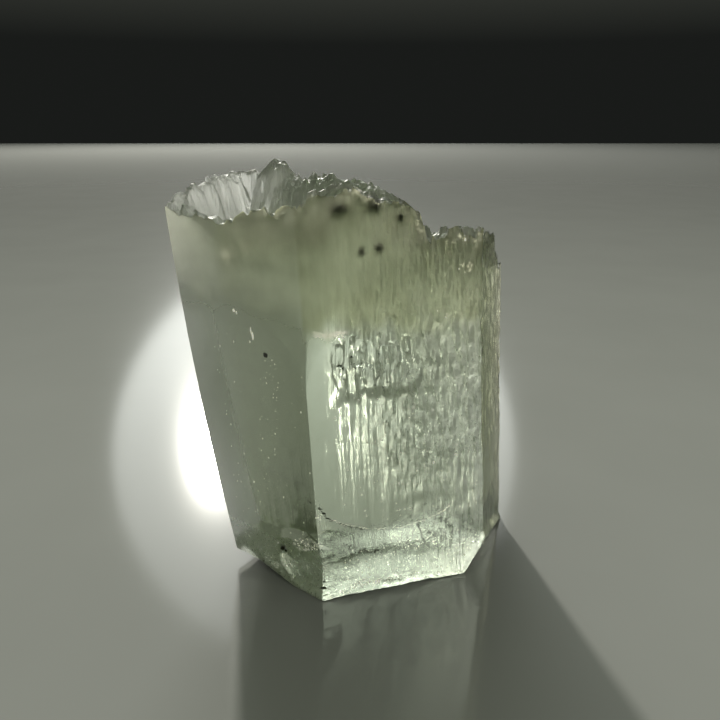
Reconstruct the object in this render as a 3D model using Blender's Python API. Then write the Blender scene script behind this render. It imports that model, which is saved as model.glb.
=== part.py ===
"""Pale olive-green beryl: one loose, stubby six-sided crystal, standing on its broken base.

The crystal is a leaning hexagonal prism. Its closed skin is laid out in three parts that share
their rims: a sheet round the six sides, a patch over the etched top and a flat foot with a
broken border. All lengths are in millimetres until the mesh is made, and turned into metres
there. Plan positions are measured from the prism's axis, on the level of the foot. Every level
above it is the same plan, slid along the lean.
"""

import math

import bmesh
import bpy
import numpy as np

MM = 0.001

# The prism: each face's outward direction in degrees, its distance from the axis at the foot,
# how much it opens outwards for each millimetre of height, and how far it bows out half way up.
FACES = {
    "front_left": (-128.0, 8.25, -0.026, 0.0),
    "front_right": (-72.5, 6.15, 0.0, 0.0),
    "right": (-19.0, 8.40, -0.014, 0.0),
    "rear_right": (52.0, 8.25, -0.028, 0.0),
    "rear": (107.5, 6.15, 0.0, 0.0),
    "rear_left": (148.0, 6.87, 0.048, 0.74),
}
LEAN_X = -math.tan(math.radians(3.8))
LEAN_Y = -math.tan(math.radians(8.5))
BOW_HEIGHT = 15.0

# The skin's grid: steps along each face in the order above, rows up the sides, rings of the foot.
STEPS = (24, 30, 20, 24, 30, 16)
SIDE_ROWS = 17
FOOT_RINGS = (0.92, 0.82, 0.70, 0.56)

# The top: the level of the basal plane at the axis, and the relief that stands on it. The crest
# is a line of plan points, each with its rise above that plane. Left of it the top is hollow,
# down to a thin wall along the two rear faces. Right of it the top has fallen.
TOP_LEVEL = 25.50
CREST = (
    (-4.8, -5.9, 0.7), (-2.6, -7.0, 1.5), (-0.4, -6.2, 2.0), (1.4, -5.2, 1.2), (0.0, -3.0, 1.4),
    (-2.0, 0.0, 1.4), (-3.1, 1.5, 0.7), (-4.4, 3.3, 1.4), (-4.7, 4.8, 1.0),
)
CREST_WIDTH = 1.5
TOWER = ((5.8, -4.6), (7.3, -3.9), (7.7, -2.8))
TOWER_HEIGHT = 1.25
TOWER_WIDTH = 1.1
RIM_RISE = 0.9
RIM_WIDTH = 1.0
HOLLOW_DEPTH = 1.9
HOLLOW_DIRECTION = 34.3
HOLLOW_SIDE = (-4.05, -2.55)
HOLLOW_WALLS = {
    "front_left": (0.2, 1.5),
    "front_right": (0.8, 2.4),
    "rear": (0.65, 1.05),
    "rear_left": (0.65, 1.05),
}
DROP_ALONG = (0.75, 0.66)
DROP = ((-1.3, 0.0), (-0.7, -0.6), (-0.4, -1.9), (1.5, -2.3), (3.5, -3.0), (7.0, -4.9), (9.0, -6.0))
COLUMN_SIZE = 1.15
COLUMN_RISE = 0.50
COLUMN_POINT = 0.40
COLUMN_SHOULDER = 0.4

# Etched relief of the sides: long pits and gutters that run up the crystal. The front-right face
# grows more etched from its middle to its right edge, and sooner higher up.
JITTER = 0.7
ETCHING = {"right": 1.0, "rear_right": 0.7, "rear": 0.3, "rear_left": 0.25}
FRONT_ETCHING = (0.08, 0.80)
FRONT_ETCHED_FROM = (6.0, 9.0)
FRONT_ETCHED_CLIMB = 0.05
PIT_WIDTH = 1.05
PIT_LENGTH = 3.4
PIT_DEPTH = 0.34
PIT_CHOICE = (0.35, 0.80)
PIT_EDGE = (0.25, 0.60)
GUTTER_WIDTH = 0.9
GUTTER_LENGTH = 40.0
GUTTER_SHARE = 0.5
FACE_SHIFT = 7.0
FOOT_FADE = 0.1

# The front edge is rounded off, to this radius at the top, between these levels.
ROUND_RADIUS = 5.0
ROUND_LEVELS = (15.0, 21.0)
SHARPEST = 0.001

# Breaks at the foot: (corner number, outward direction in degrees, slope upwards, how far inside
# the corner it starts, greatest rise). The last three lift the border under the rear face.
FOOT_BREAKS = (
    (2, -28.0, 2.6, 1.1, 9.0),
    (0, -166.0, 0.48, 3.2, 0.85),
    (4, 107.5, 0.70, 1.65, 1.2),
    (4, 80.0, 0.75, 2.9, 2.3),
    (5, 130.0, 0.75, 2.5, 2.0),
)
CHIP_RISE = 0.42
CHIP_WIDTH = 0.8
CHIP_LEVELS = (0.6, 1.4)
CHIPS_BEGIN = (0.3, 1.3)
CHIPS_END = (6.0, 8.5)
SCAR_CENTRE = (-4.6, -6.9)
SCAR_HEIGHT = 2.6
SCAR_REACH = (2.3, 2.5)
SCAR_DEPTH = 0.55
SCAR_POWER = 0.8

# The finish.
BERYL_COLOUR = (0.62, 0.68, 0.48, 1.0)
BERYL_ROUGHNESS = 0.12
BERYL_IOR = 1.577


def fraction(values):
    """The part of each number after the point, between 0 and 1."""
    return values - np.floor(values)


def scatter(i, j, salt):
    """A repeatable scattered number between 0 and 1 for each lattice square (i, j)."""
    return fraction(np.sin(i * 127.1 + j * 311.7 + salt * 74.7) * 43758.5453)


def cells(x, y, salt):
    """The nearest jittered lattice point: (its scattered number, the distance to it)."""
    best = np.full(np.shape(x), 9.0)
    number = np.zeros(np.shape(x))
    for di in (-1, 0, 1):
        for dj in (-1, 0, 1):
            i = np.floor(x) + di
            j = np.floor(y) + dj
            px = i + (1 - JITTER) / 2 + JITTER * scatter(i, j, salt)
            py = j + (1 - JITTER) / 2 + JITTER * scatter(i, j, salt + 1)
            away = np.hypot(x - px, y - py)
            nearer = away < best
            number = np.where(nearer, scatter(i, j, salt + 2), number)
            best = np.where(nearer, away, best)
    return number, best


def ease(low, high, values):
    """0 below low, 1 above high, and a smooth rise between them."""
    t = np.clip((values - low) / (high - low), 0.0, 1.0)
    return t * t * (3 - 2 * t)


def outward(degrees):
    """The plan direction at an angle from +X."""
    return np.array([math.cos(math.radians(degrees)), math.sin(math.radians(degrees))])


def corners(column):
    """Where each face's line meets the one before it, for one column of numbers in FACES."""
    sides = [(outward(face[0]), face[column]) for face in FACES.values()]
    met = []
    for (n0, d0), (n1, d1) in zip(sides[-1:] + sides[:-1], sides):
        met.append(np.linalg.solve(np.array([n0, n1]), np.array([d0, d1])))
    return np.array(met)


def spread(tips):
    """Points at even steps along the runs from each corner to the next."""
    points = []
    for k, count in enumerate(STEPS):
        share = np.arange(count)[:, None] / count
        points.append(tips[k] + (tips[(k + 1) % len(tips)] - tips[k]) * share)
    return np.vstack(points)


def outline():
    """The plan outline: points, inward directions, the outline's own directions, face numbers
    and places along the faces."""
    points = spread(corners(1))
    normals = np.array([outward(face[0]) for face in FACES.values()])
    face = np.repeat(np.arange(len(STEPS)), STEPS)
    first = np.cumsum([0, *STEPS[:-1]])
    inward = -normals[face]
    before = np.roll(normals, 1, axis=0)
    inward[first] = -(before + normals) / (1 + (before * normals).sum(axis=1))[:, None]
    along = np.linalg.norm(points - points[first][face], axis=1)
    ahead = np.stack([-normals[face][:, 1], normals[face][:, 0]], axis=-1)
    return points, inward, ahead, face, along


def to_line(x, y, line):
    """The plan distance from each point to a line of straight runs, and the height the line has
    at its nearest place."""
    nearest = np.full(np.shape(x), 99.0)
    height = np.zeros(np.shape(x))
    for (ax, ay, az), (bx, by, bz) in zip(line, line[1:]):
        t = ((x - ax) * (bx - ax) + (y - ay) * (by - ay)) / ((bx - ax) ** 2 + (by - ay) ** 2)
        t = np.clip(t, 0, 1)
        away = np.hypot(x - ax - t * (bx - ax), y - ay - t * (by - ay))
        nearer = away < nearest
        height = np.where(nearer, az + t * (bz - az), height)
        nearest = np.where(nearer, away, nearest)
    return nearest, height


def ridge(x, y, line, width):
    """A bell-shaped ridge over a line of plan points with heights."""
    away, height = to_line(x, y, line)
    return height * np.exp(-((away / width) ** 2))


def inside_face(name, x, y):
    """How far inside one face each plan point at the top is."""
    degrees, reach, opening, bow = FACES[name]
    reach = reach + opening * TOP_LEVEL + bow * bowing(TOP_LEVEL)
    return reach - (x * outward(degrees)[0] + y * outward(degrees)[1])


def hollow_depth(x, y):
    """The hollow left of the crest, between walls along the faces."""
    side = x * outward(HOLLOW_DIRECTION)[0] + y * outward(HOLLOW_DIRECTION)[1]
    depth = HOLLOW_DEPTH * (1 - ease(*HOLLOW_SIDE, side))
    for name, wall in HOLLOW_WALLS.items():
        depth = depth * ease(*wall, inside_face(name, x, y))
    return depth


def top_height(x, y):
    """The top: a tilted basal plane, a crest, a raised rear-left rim, a hollow behind the front
    rim, a fallen right side with a tower on its rim, and pointed columns that all run up the
    crystal."""
    height = TOP_LEVEL - LEAN_X * x - LEAN_Y * y
    height += ridge(x, y, CREST, CREST_WIDTH)
    height += ridge(x, y, [(*at, TOWER_HEIGHT) for at in TOWER], TOWER_WIDTH)
    height += RIM_RISE * np.exp(-((inside_face("rear_left", x, y) / RIM_WIDTH) ** 2))
    height -= hollow_depth(x, y)
    fallen = x * DROP_ALONG[0] + y * DROP_ALONG[1]
    height += np.interp(fallen, [at for at, _ in DROP], [down for _, down in DROP])
    number, away = cells(x / COLUMN_SIZE, y / COLUMN_SIZE, 3)
    height += COLUMN_RISE * (number - 0.5) + COLUMN_POINT * (COLUMN_SHOULDER - away)
    return height


def foot_height(x, y):
    """The foot: flat on the ground and broken away upwards at its borders."""
    height = np.zeros(np.shape(x))
    for corner, degrees, slope, start, most in FOOT_BREAKS:
        n = outward(degrees)
        px, py = corners(1)[corner]
        beyond = (x - px) * n[0] + (y - py) * n[1] + start
        height = np.maximum(height, np.minimum(slope * beyond, most))
    return height


def face_number(name):
    """A face's place in the order round the crystal."""
    return list(FACES).index(name)


def chipped_edge(face, along):
    """How high the foot's border is chipped along the front-right face."""
    rise = ease(*CHIPS_BEGIN, along) * (1 - ease(*CHIPS_END, along))
    teeth, _ = cells(along / CHIP_WIDTH, np.zeros(np.shape(along)), 21)
    low, high = CHIP_LEVELS
    chips = CHIP_RISE * rise * (low + (high - low) * teeth)
    return np.where(face == face_number("front_right"), chips, 0.0)


def etching(face, along, z):
    """How strongly each place on the sides is etched, from 0 on the smooth front faces to 1."""
    strength = np.zeros(np.shape(z))
    for name, amount in ETCHING.items():
        strength = np.where(face == face_number(name), amount, strength)
    low, more = FRONT_ETCHING
    across = low + more * ease(*FRONT_ETCHED_FROM, along + FRONT_ETCHED_CLIMB * z)
    return np.where(face == face_number("front_right"), across, strength)


def side_depth(face, along, z):
    """How deep the etched pits and gutters go into the sides."""
    number, away = cells(along / PIT_WIDTH + FACE_SHIFT * face, z / PIT_LENGTH, 11)
    pit = ease(*PIT_CHOICE, number) * (1 - ease(*PIT_EDGE, away))
    gutter, _ = cells(along / GUTTER_WIDTH + FACE_SHIFT * face, z / GUTTER_LENGTH, 15)
    return PIT_DEPTH * etching(face, along, z) * (pit + GUTTER_SHARE * gutter)


def scar_depth(x, y, z):
    """The shallow broken scar at the foot of the front edge."""
    span = np.hypot((x - SCAR_CENTRE[0]), (y - SCAR_CENTRE[1])) / SCAR_REACH[0]
    rise = (z - SCAR_HEIGHT) / SCAR_REACH[1]
    return SCAR_DEPTH * np.clip(1 - span**2 - rise**2, 0, 1) ** SCAR_POWER


def rounding(face, along, z):
    """How the front edge is rounded off at each level: how deep each place goes, and how far it
    slides along the outline. Each place's share of the way to the edge gives its angle on an
    arc that touches both front faces."""
    left, right = face_number("front_left"), face_number("front_right")
    half_turn = math.radians(FACES["front_right"][0] - FACES["front_left"][0]) / 2
    tips = corners(1)
    width = np.linalg.norm(tips[right] - tips[left])
    from_edge = np.where(face == left, width - along, along)
    radius = SHARPEST + ROUND_RADIUS * ease(*ROUND_LEVELS, z)
    reach = radius * math.tan(half_turn)
    angle = half_turn * np.clip(1 - from_edge / reach, 0, 1)
    on_arc = ((face == left) | (face == right)) & (from_edge < reach)
    depth = np.where(on_arc, radius * (1 - np.cos(angle)), 0.0)
    slide = np.where(on_arc & (from_edge > 0), reach - radius * np.sin(angle) - from_edge, 0.0)
    return depth, np.where(face == left, -slide, slide)


def bowing(z):
    """How much of its bow a face has at each level: none at the foot, all half way up."""
    return 1 - ((z - BOW_HEIGHT) / BOW_HEIGHT) ** 2


def side_rows():
    """The sheet round the sides: its plan points and levels, one row for each level."""
    points, inward, ahead, face, along = outline()
    opening, bow = spread(corners(2)), spread(corners(3))
    rim_level = np.full(len(points), TOP_LEVEL)
    rim_depth = rounding(face, along, rim_level)[0] + side_depth(face, along, rim_level)
    rim = points + opening * TOP_LEVEL + bow * bowing(TOP_LEVEL) + inward * rim_depth[:, None]
    low = foot_height(points[:, 0], points[:, 1]) + chipped_edge(face, along)
    high = top_height(rim[:, 0], rim[:, 1])
    share = np.linspace(0, 1, SIDE_ROWS + 1)[:, None]
    z = low + (high - low) * share
    rounded, slide = rounding(face, along, z)
    depth = side_depth(face, along, z) * ease(0.0, FOOT_FADE, share) + rounded
    depth += scar_depth(points[:, 0], points[:, 1], z)
    plan = points + opening * z[..., None] + bow * bowing(z)[..., None]
    return plan + inward * depth[..., None] + ahead * slide[..., None], z


def coons(rim):
    """A square grid stretched inside a closed rim, whose four quarters are the grid's sides."""
    n = len(rim) // 4
    t = np.linspace(0, 1, n + 1)
    rim = np.vstack([rim, rim[:1]])
    near, right = rim[: n + 1], rim[n : 2 * n + 1]
    far, left = rim[2 * n : 3 * n + 1][::-1], rim[3 * n :][::-1]
    u, v = t[:, None, None], t[None, :, None]
    across = (1 - v) * near[:, None] + v * far[:, None]
    along = (1 - u) * left[None, :] + u * right[None, :]
    ties = (1 - u) * (1 - v) * near[0] + u * (1 - v) * near[-1]
    ties = ties + (1 - u) * v * far[0] + u * v * far[-1]
    return across + along - ties


def leaning(plan, z):
    """Slides plan points along the lean to their levels: x, y, z."""
    return np.stack([plan[..., 0] + LEAN_X * z, plan[..., 1] + LEAN_Y * z, z], axis=-1)


def rim_places(n):
    """The grid places (i, j) of a square patch's rim, in the order of the outline."""
    run = range(n)
    near = [(i, 0) for i in run] + [(n, j) for j in run]
    return near + [(n - i, n) for i in run] + [(0, n - j) for j in run]


def build_mesh():
    """Joins the sides, the top and the foot into one closed mesh, in metres."""
    plan, z = side_rows()
    sides = leaning(plan, z)
    top_plan = coons(plan[-1])
    top = leaning(top_plan, top_height(top_plan[..., 0], top_plan[..., 1]))
    middle = plan[0].mean(axis=0)
    foot = []
    for share in FOOT_RINGS:
        ring = middle + (plan[0] - middle) * share
        foot.append(leaning(ring, foot_height(ring[:, 0], ring[:, 1])))

    reach = np.vstack([sides.reshape(-1, 3), top.reshape(-1, 3)])
    centre = (reach.min(axis=0) + reach.max(axis=0)) / 2 * [1, 1, 0]

    bm = bmesh.new()

    def add(point):
        """Adds one point, given in millimetres from the axis."""
        return bm.verts.new((point - centre) * MM)

    rows = [[add(p) for p in ring] for ring in foot[::-1]]
    rows += [[add(p) for p in row] for row in sides]
    count = len(rows[0])
    bm.faces.new(rows[0][::-1])
    for lower, upper in zip(rows, rows[1:]):
        for k in range(count):
            m = (k + 1) % count
            bm.faces.new((lower[k], lower[m], upper[m], upper[k]))

    n = count // 4
    patch = {place: rows[-1][k] for k, place in enumerate(rim_places(n))}
    for i in range(1, n):
        for j in range(1, n):
            patch[i, j] = add(top[i, j])
    for i in range(n):
        for j in range(n):
            bm.faces.new((patch[i, j], patch[i + 1, j], patch[i + 1, j + 1], patch[i, j + 1]))

    bmesh.ops.triangulate(bm, faces=[f for f in bm.faces if len(f.verts) == 4])
    mesh = bpy.data.meshes.new("crystal")
    bm.to_mesh(mesh)
    bm.free()
    return mesh


def beryl_material():
    """Clear, pale olive-green beryl."""
    material = bpy.data.materials.new("beryl")
    material.use_nodes = True
    shader = material.node_tree.nodes["Principled BSDF"]
    shader.inputs["Base Color"].default_value = BERYL_COLOUR
    shader.inputs["Roughness"].default_value = BERYL_ROUGHNESS
    shader.inputs["Metallic"].default_value = 0.0
    shader.inputs["IOR"].default_value = BERYL_IOR
    shader.inputs["Transmission Weight"].default_value = 1.0
    return material


def main():
    """Clears the scene and stands the crystal in it."""
    for thing in list(bpy.data.objects):
        bpy.data.objects.remove(thing)
    crystal = bpy.data.objects.new("crystal", build_mesh())
    crystal.data.materials.append(beryl_material())
    bpy.context.scene.collection.objects.link(crystal)


main()
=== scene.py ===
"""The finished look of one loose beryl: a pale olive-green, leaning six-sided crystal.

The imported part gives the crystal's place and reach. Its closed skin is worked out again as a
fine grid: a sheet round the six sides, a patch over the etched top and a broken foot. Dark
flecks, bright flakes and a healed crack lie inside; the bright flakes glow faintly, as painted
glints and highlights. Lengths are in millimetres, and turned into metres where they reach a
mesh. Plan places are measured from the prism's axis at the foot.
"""

import logging
import math
from collections.abc import Sequence
from dataclasses import dataclass, field
from enum import Enum

import bpy
import numpy as np
from mathutils.bvhtree import BVHTree
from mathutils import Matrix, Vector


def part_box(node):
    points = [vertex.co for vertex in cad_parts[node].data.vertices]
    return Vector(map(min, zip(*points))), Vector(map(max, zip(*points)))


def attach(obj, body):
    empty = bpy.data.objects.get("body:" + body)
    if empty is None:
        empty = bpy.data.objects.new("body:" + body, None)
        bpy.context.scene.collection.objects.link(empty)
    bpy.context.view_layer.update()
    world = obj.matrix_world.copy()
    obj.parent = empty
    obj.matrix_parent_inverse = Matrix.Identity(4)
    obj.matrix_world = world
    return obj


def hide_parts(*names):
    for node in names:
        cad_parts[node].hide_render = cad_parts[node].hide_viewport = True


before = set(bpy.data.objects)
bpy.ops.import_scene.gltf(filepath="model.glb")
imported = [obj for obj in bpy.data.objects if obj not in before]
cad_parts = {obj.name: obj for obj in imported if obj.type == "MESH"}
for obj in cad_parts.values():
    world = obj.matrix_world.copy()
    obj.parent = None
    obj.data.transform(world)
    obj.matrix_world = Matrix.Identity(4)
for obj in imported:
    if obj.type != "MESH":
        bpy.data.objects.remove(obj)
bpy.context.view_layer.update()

MM = 0.001
NODE = "crystal"
BODY = "root"

log = logging.getLogger("beryl")
Array = np.ndarray
Span = tuple[float, float]
Point = tuple[float, float, float]
Line = tuple[Point, ...]
Colour = tuple[float, float, float, float]


# ---- number work ----


def scatter(i: Array, j: Array | float, salt: float) -> Array:
    """A repeatable number between 0 and 1 for each lattice square: a scrambled sine of both."""
    mixed = np.sin(i * 127.1 + j * 311.7 + salt * 74.7) * 43758.5453
    return mixed - np.floor(mixed)


def ripple(x: Array, y: Array, salt: float) -> Array:
    """Smooth value noise of unit spacing: scattered numbers at the lattice corners, blended.

    Args:
        x: Places across, in lattice steps.
        y: Places along, in lattice steps.
        salt: Picks one noise out of many.

    Returns:
        Numbers between -1 and 1.
    """
    i, j = np.floor(x), np.floor(y)
    u, v = ease(0.0, 1.0, x - i), ease(0.0, 1.0, y - j)
    low = scatter(i, j, salt) * (1 - u) + scatter(i + 1, j, salt) * u
    high = scatter(i, j + 1, salt) * (1 - u) + scatter(i + 1, j + 1, salt) * u
    return (low * (1 - v) + high * v) * 2 - 1


def ease(low: float, high: float, values: Array) -> Array:
    """0 below low, 1 above high, and a smooth cubic rise between them."""
    t = np.clip((values - low) / (high - low), 0.0, 1.0)
    return t * t * (3 - 2 * t)


def outward(degrees: float) -> Array:
    """The unit plan direction at an angle from +X, in degrees."""
    return np.array([math.cos(math.radians(degrees)), math.sin(math.radians(degrees))])


def cell_corners(grid: Array) -> Array:
    """The four corners of each cell of a grid, in order round it, along a new third axis."""
    return np.stack([grid[:-1, :-1], grid[:-1, 1:], grid[1:, 1:], grid[1:, :-1]], axis=2)


@dataclass(frozen=True)
class Fade:
    """An eased change between two places, from one value to another."""

    start: float
    end: float
    before: float = 0.0
    after: float = 1.0

    def at(self, places: Array) -> Array:
        """The value at each place."""
        return self.before + (self.after - self.before) * ease(self.start, self.end, places)


@dataclass(frozen=True)
class Lattice:
    """A scattered pattern: its spacing across and up, its depth, its salt and its tilt's size."""

    across: float
    up: float
    deep: float
    salt: int
    tilt: float = 0.0

    def blocks(self, x: Array, y: Array) -> tuple[Array, Array, Array]:
        """Flat tilted blocks, one round each point of a jittered lattice.

        Formula: every cell holds one point, moved by two scattered numbers, and the nearest of the
        nine around each place counts. The way from it, in lattice steps, times a scattered slope
        both ways is the tilt's rise.

        Args:
            x: Places across.
            y: Places along.

        Returns:
            The block's own scattered number, the distance to its point, and the rise.
        """
        x, y, salt = x / self.across, y / self.up, self.salt
        margin, play = 0.15, 0.7
        number, nearest, rise = (np.full(np.shape(x), start) for start in (0.0, 9.0, 0.0))
        for across, along in np.ndindex(3, 3):
            i, j = np.floor(x) + across - 1, np.floor(y) + along - 1
            dx = x - i - margin - play * scatter(i, j, salt)
            dy = y - j - margin - play * scatter(i, j, salt + 1)
            away = np.hypot(dx, dy)
            tilt = dx * (scatter(i, j, salt + 3) - 0.5) + dy * (scatter(i, j, salt + 4) - 0.5)
            nearer = away < nearest
            number = np.where(nearer, scatter(i, j, salt + 2), number)
            rise = np.where(nearer, tilt, rise)
            nearest = np.where(nearer, away, nearest)
        return number, nearest, rise

    def rubble(self, x: Array, y: Array) -> Array:
        """Blocks at scattered levels around 0, with tilted faces."""
        number, _, rise = self.blocks(x, y)
        return self.deep * (number - 0.5) + self.tilt * rise

    def swell(self, x: Array, y: Array) -> Array:
        """Smooth waves between 0 and the depth."""
        return self.deep * (0.5 + 0.5 * ripple(x / self.across, y / self.up, self.salt))


Lattices = tuple[Lattice, ...]


# ---- shader work ----


class Wire:
    """One shader socket, with arithmetic that adds Math nodes."""

    def __init__(self, socket: bpy.types.NodeSocket) -> None:
        """Wraps an output socket."""
        self.socket = socket

    def _math(self, operation: str, first: "Wire | float", second: "Wire | float",
              clamped: bool = False) -> "Wire":
        """Adds one Math node.

        Args:
            operation: The node's operation.
            first: Its first input.
            second: Its second input.
            clamped: Whether the result is kept between 0 and 1.

        Returns:
            The node's result.
        """
        node = self.socket.id_data.nodes.new("ShaderNodeMath")
        node.operation = operation
        node.use_clamp = clamped
        plug(first, node.inputs[0])
        plug(second, node.inputs[1])
        return Wire(node.outputs[0])

    def __add__(self, other: "Wire | float") -> "Wire":
        """This value plus another."""
        return self._math("ADD", self, other)

    __radd__ = __add__

    def __mul__(self, other: "Wire | float") -> "Wire":
        """This value times another."""
        return self._math("MULTIPLY", self, other)

    __rmul__ = __mul__

    def __sub__(self, other: "Wire | float") -> "Wire":
        """This value less another."""
        return self._math("SUBTRACT", self, other)

    def __rsub__(self, other: float) -> "Wire":
        """A number less this value."""
        return self._math("SUBTRACT", other, self)

    def clamp(self) -> "Wire":
        """This value kept between 0 and 1."""
        return self._math("ADD", self, 0.0, clamped=True)


def plug(value: Wire | float | Sequence[float], socket: bpy.types.NodeSocket) -> None:
    """Feeds a socket.

    Args:
        value: A wire to link, or the socket's own number, vector or colour.
        socket: The input socket.
    """
    if isinstance(value, Wire):
        socket.id_data.links.new(value.socket, socket)
    else:
        socket.default_value = value


class Bench:
    """The node tree of a material or a world, with one method that adds any node."""

    def __init__(self, owner: bpy.types.Material | bpy.types.World) -> None:
        """Empties a node tree.

        Args:
            owner: The material or the world that has it.
        """
        owner.use_nodes = True
        self.tree = owner.node_tree
        self.tree.nodes.clear()

    def node(self, kind: str, settings: dict[str, object] | None = None, out: str | None = None,
             **values: object) -> Wire | None:
        """Adds a node.

        Args:
            kind: The node type without its ShaderNode prefix.
            settings: Properties set first; "stops" fills a colour ramp.
            out: The output to hand back, the first if not given.
            values: Wires, numbers or colours by input.

        Returns:
            The chosen output, or nothing where the node has none.
        """
        made = self.tree.nodes.new("ShaderNode" + kind)
        for name, value in (settings or {}).items():
            if name == "stops":
                self._fill_ramp(made.color_ramp, value)
            else:
                setattr(made, name, value)
        for name, value in values.items():
            plug(value, self._socket(made.inputs, name))
        if not len(made.outputs):
            return None
        return Wire(self._socket(made.outputs, out) if out else made.outputs[0])

    @staticmethod
    def _socket(sockets: bpy.types.bpy_prop_collection, key: str) -> bpy.types.NodeSocket:
        """Finds a socket by its identifier, or by its name with _ for each space."""
        named = {socket.identifier: socket for socket in sockets}
        return named[key] if key in named else sockets[key.replace("_", " ")]

    @staticmethod
    def _fill_ramp(ramp: bpy.types.ColorRamp, stops: Sequence[tuple[float, Colour]]) -> None:
        """Gives a new ramp's two stops their places and colours.

        Args:
            ramp: The ramp.
            stops: A place and a colour for each stop.
        """
        for stop, (place, colour) in zip(ramp.elements, stops):
            stop.position = place
            stop.color = colour

    def mix(self, share: Wire, first: object, second: object) -> Wire:
        """Blends two colours: a share of 0 gives the first and 1 the second."""
        return self.node("Mix", {"data_type": "RGBA"}, out="Result_Color",
                         Factor_Float=share, A_Color=first, B_Color=second)


@dataclass(frozen=True)
class BerylFinish:
    """Clear beryl: smooth or etched skin, and an olive body that absorbs light."""

    refraction: float = 1.577
    body_colour: Colour = (0.48, 0.60, 0.34, 1.0)
    body_density: float = 66.0
    polish: float = 0.04
    frosting: float = 0.60
    frost_least: float = 0.7
    frost_grain: float = 0.6
    relief: float = 0.00008
    line_spacing: Point = (5200.0, 130.0, 1.0)
    grain_spacing: Point = (6500.0, 3800.0, 1.0)
    grain_on_stripes: float = 0.25
    grain_on_etching: float = 0.70
    cloud_spacing: Point = (620.0, 420.0, 1.0)
    cloud_contrast: float = 2.6
    clear: Colour = (0.99, 0.99, 0.99, 1.0)
    olive: Colour = (0.44, 0.44, 0.26, 1.0)
    pale_olive: Colour = (0.72, 0.72, 0.50, 1.0)

    def make(self) -> bpy.types.Material:
        """Builds the material. Roughness, bump and tint follow the skin's own marks and map.

        Returns:
            The material.
        """
        made = bpy.data.materials.new("beryl_glass")
        bench = Bench(made)
        etched, frosted, striped, veiled = (
            bench.node("Attribute", {"attribute_name": mark}, out="Fac")
            for mark in ("etching", "frosting", "striping", "veil")
        )
        skin_map = bench.node("UVMap")
        lines = self._noise(bench, skin_map, self.line_spacing, 3.0, 0.65)
        grain = self._noise(bench, skin_map, self.grain_spacing, 3.0, 0.6)
        cloud = self._noise(bench, skin_map, self.cloud_spacing, 2.0, 0.5)
        fine = self.grain_on_stripes * striped + self.grain_on_etching * etched
        bump = bench.node("Bump", Strength=1.0, Distance=self.relief,
                          Height=lines * striped + grain * fine)
        frost = frosted * self.frosting * (self.frost_least + self.frost_grain * grain)
        cloud = ((cloud - 0.5) * self.cloud_contrast + 0.5).clamp()
        tint = bench.mix(veiled, self.clear, bench.mix(cloud, self.olive, self.pale_olive))
        shader = bench.node(
            "BsdfPrincipled", Base_Color=tint, Roughness=(self.polish + frost).clamp(),
            IOR=self.refraction, Transmission_Weight=1.0, Normal=bump,
        )
        body = bench.node("VolumeAbsorption", Color=self.body_colour, Density=self.body_density)
        bench.node("OutputMaterial", Surface=shader, Volume=body)
        return made

    @staticmethod
    def _noise(bench: Bench, skin_map: Wire, spacing: Point, detail: float, rough: float) -> Wire:
        """Noise on the skin's map, as fine round the crystal and along it as the spacing says."""
        place = bench.node("Mapping", Vector=skin_map, Scale=spacing)
        return bench.node("TexNoise", Vector=place, Scale=1.0, Detail=detail, Roughness=rough)


@dataclass(frozen=True)
class GrainyFinish:
    """An opaque finish whose colour wanders between two shades in a fine grain."""

    name: str
    shades: tuple[Colour, Colour]
    fineness: float
    detail: float
    roughness: float
    gloss: float = 0.5

    def make(self) -> bpy.types.Material:
        """Builds the material.

        Returns:
            The material.
        """
        made = bpy.data.materials.new(self.name)
        bench = Bench(made)
        place = bench.node("TexCoord", out="Object")
        grain = bench.node("TexNoise", Vector=place, Scale=self.fineness, Detail=self.detail)
        shader = bench.node(
            "BsdfPrincipled", Base_Color=bench.mix(grain, *self.shades),
            Roughness=self.roughness, Specular_IOR_Level=self.gloss,
        )
        bench.node("OutputMaterial", Surface=shader)
        return made


@dataclass(frozen=True)
class PaintedGlintFinish:
    """Tiny cleavage flakes inside the beryl that reflect the light, and also glow faintly as a
    painted glint.
    """

    colour: Colour = (0.95, 0.93, 0.80, 1.0)
    roughness: float = 0.35
    # Emission strength: a painted glint, since the flake is no lamp.
    painted_glow: float = 0.55

    def make(self) -> bpy.types.Material:
        """Builds the material: a pale flake whose faint glow is a painted glint.

        Returns:
            The material.
        """
        made = bpy.data.materials.new("flake_painted_glint")
        bench = Bench(made)
        shader = bench.node(
            "BsdfPrincipled", Base_Color=self.colour, Roughness=self.roughness,
            Emission_Color=self.colour, Emission_Strength=self.painted_glow,
        )
        bench.node("OutputMaterial", Surface=shader)
        return made


FLECK_MINERAL = GrainyFinish(
    "fleck_mineral", ((0.018, 0.022, 0.010, 1.0), (0.050, 0.045, 0.020, 1.0)),
    fineness=4000.0, detail=2.0, roughness=0.6,
)
FLOOR_PAINT = GrainyFinish(
    "floor_paint", ((0.49, 0.50, 0.48, 1.0), (0.55, 0.56, 0.54, 1.0)),
    fineness=60.0, detail=4.0, roughness=0.11, gloss=0.3,
)


# ---- the crystal's form ----


class Facet(Enum):
    """The six prism faces, in order round the crystal."""

    FRONT_LEFT = 0
    FRONT_RIGHT = 1
    RIGHT = 2
    REAR_RIGHT = 3
    REAR = 4
    REAR_LEFT = 5


@dataclass(frozen=True)
class Face:
    """One prism face, in degrees from +X and millimetres from the axis at the foot.

    Opening is how far it moves out for each millimetre up, and bow how far it swells half way
    up. Steps is its number of columns. The other numbers are its skin's own strengths.
    """

    heading: float
    reach: float
    opening: float
    bow: float
    steps: int
    etching: float = 0.0
    striping: float = 0.0
    waving: float = 0.0
    dullness: float = 0.0
    veiling: float = 0.0


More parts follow.
